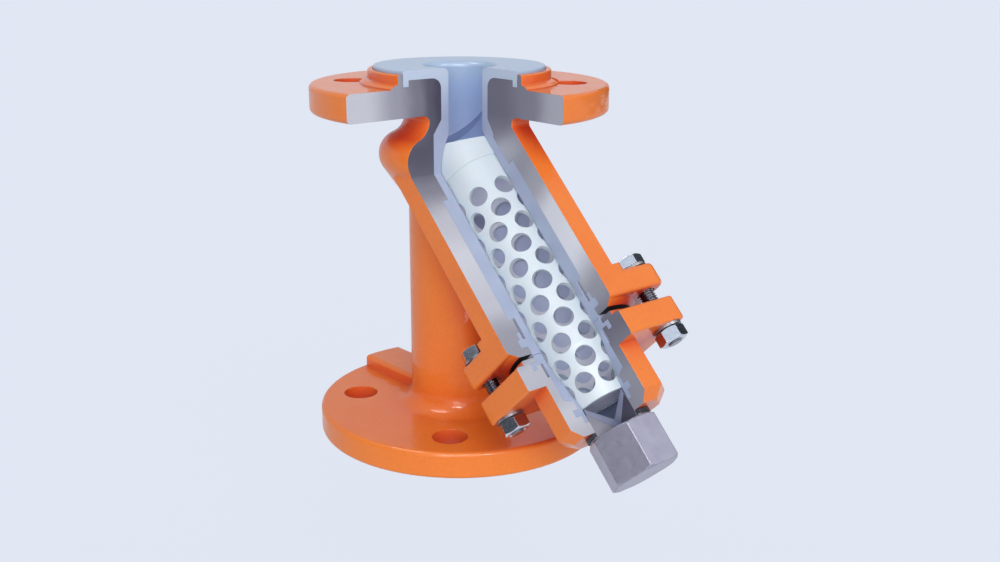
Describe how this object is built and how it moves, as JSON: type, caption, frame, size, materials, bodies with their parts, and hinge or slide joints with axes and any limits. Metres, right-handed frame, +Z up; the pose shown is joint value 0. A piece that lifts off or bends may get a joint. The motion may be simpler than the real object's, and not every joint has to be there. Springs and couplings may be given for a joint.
{
  "type": "ptfe-lined pipe strainer",
  "caption": "Cutaway flanged Y-strainer in cast metal with a smooth fluoropolymer lining, a perforated basket, a bolted bonnet and a hexagon drain plug.",
  "frame": {"origin": "centre of the lower (outlet) sealing face, on the axis of the main pipe", "axes": "+Z up the main pipe towards the inlet face, +X towards the side the 45 degree branch leans to, the removed quarter on the -Y side"},
  "size_m": [0.2201, 0.15, 0.2],
  "materials": {
    "orange_paint": "gloss",
    "liner_ptfe": "satin",
    "basket_ptfe": "satin",
    "plug_steel": "satin",
    "bright_zinc": "polished",
    "dark_washer": "satin",
    "black_gasket": "matte"
  },
  "bodies": {
    "body": {"body_casting": "orange_paint", "body_liner": "liner_ptfe", "bolt_left": "bright_zinc", "head_washer_left": "bright_zinc", "bolt_right": "bright_zinc", "head_washer_right": "bright_zinc", "bolt_rear": "bright_zinc", "head_washer_rear": "bright_zinc"},
    "basket": {"strainer_basket": "basket_ptfe", "basket_collar": "basket_ptfe"},
    "bonnet": {"bonnet_casting": "orange_paint", "bonnet_liner": "liner_ptfe"},
    "gasket": {"plug_gasket": "black_gasket"},
    "plug": {"drain_plug": "plug_steel", "drain_cone": "liner_ptfe"},
    "nut_washer_left": {"nut_washer_left": "dark_washer"},
    "nut_left": {"nut_left": "bright_zinc"},
    "nut_washer_right": {"nut_washer_right": "dark_washer"},
    "nut_right": {"nut_right": "bright_zinc"},
    "nut_washer_rear": {"nut_washer_rear": "dark_washer"},
    "nut_rear": {"nut_rear": "bright_zinc"}
  },
  "joints": [
    {"name": "bonnet_slide", "type": "slide", "parent": "body", "child": "bonnet", "axis": [0.7071, 0, -0.7071], "range_m": [0, 0.1]},
    {"name": "basket_slide", "type": "slide", "parent": "body", "child": "basket", "axis": [0.7071, 0, -0.7071], "range_m": [0, 0.056]},
    {"name": "gasket_slide", "type": "slide", "parent": "bonnet", "child": "gasket", "axis": [0.7071, 0, -0.7071], "range_m": [0, 0.0139]},
    {"name": "plug_turn", "type": "hinge", "parent": "gasket", "child": "plug", "pos_m": [0.11667, 0, 0.04133], "axis": [0.7071, 0, -0.7071], "range_deg": [0, 2520]},
    {"name": "washer_slide_left", "type": "slide", "parent": "bonnet", "child": "nut_washer_left", "axis": [0.7071, 0, -0.7071], "range_m": [0, 0.0087]},
    {"name": "nut_turn_left", "type": "hinge", "parent": "nut_washer_left", "child": "nut_left", "pos_m": [0.07679, -0.0302, 0.0385], "axis": [0.7071, 0, -0.7071], "range_deg": [0, 2520]},
    {"name": "washer_slide_right", "type": "slide", "parent": "bonnet", "child": "nut_washer_right", "axis": [0.7071, 0, -0.7071], "range_m": [0, 0.0087]},
    {"name": "nut_turn_right", "type": "hinge", "parent": "nut_washer_right", "child": "nut_right", "pos_m": [0.1195, 0.0302, 0.08121], "axis": [0.7071, 0, -0.7071], "range_deg": [0, 2520]},
    {"name": "washer_slide_rear", "type": "slide", "parent": "bonnet", "child": "nut_washer_rear", "axis": [0.7071, 0, -0.7071], "range_m": [0, 0.0087]},
    {"name": "nut_turn_rear", "type": "hinge", "parent": "nut_washer_rear", "child": "nut_rear", "pos_m": [0.07679, 0.0302, 0.0385], "axis": [0.7071, 0, -0.7071], "range_deg": [0, 2520]}
  ],
  "couplings": [
    {"joint": "basket_slide", "follows": "bonnet_slide", "ratio": 0.55},
    {"joint": "plug_turn", "follows": "gasket_slide", "rad_per_m": 3141.6},
    {"joint": "nut_turn_left", "follows": "washer_slide_left", "rad_per_m": 5026.5},
    {"joint": "nut_turn_right", "follows": "washer_slide_right", "rad_per_m": 5026.5},
    {"joint": "nut_turn_rear", "follows": "washer_slide_rear", "rad_per_m": 5026.5}
  ]
}
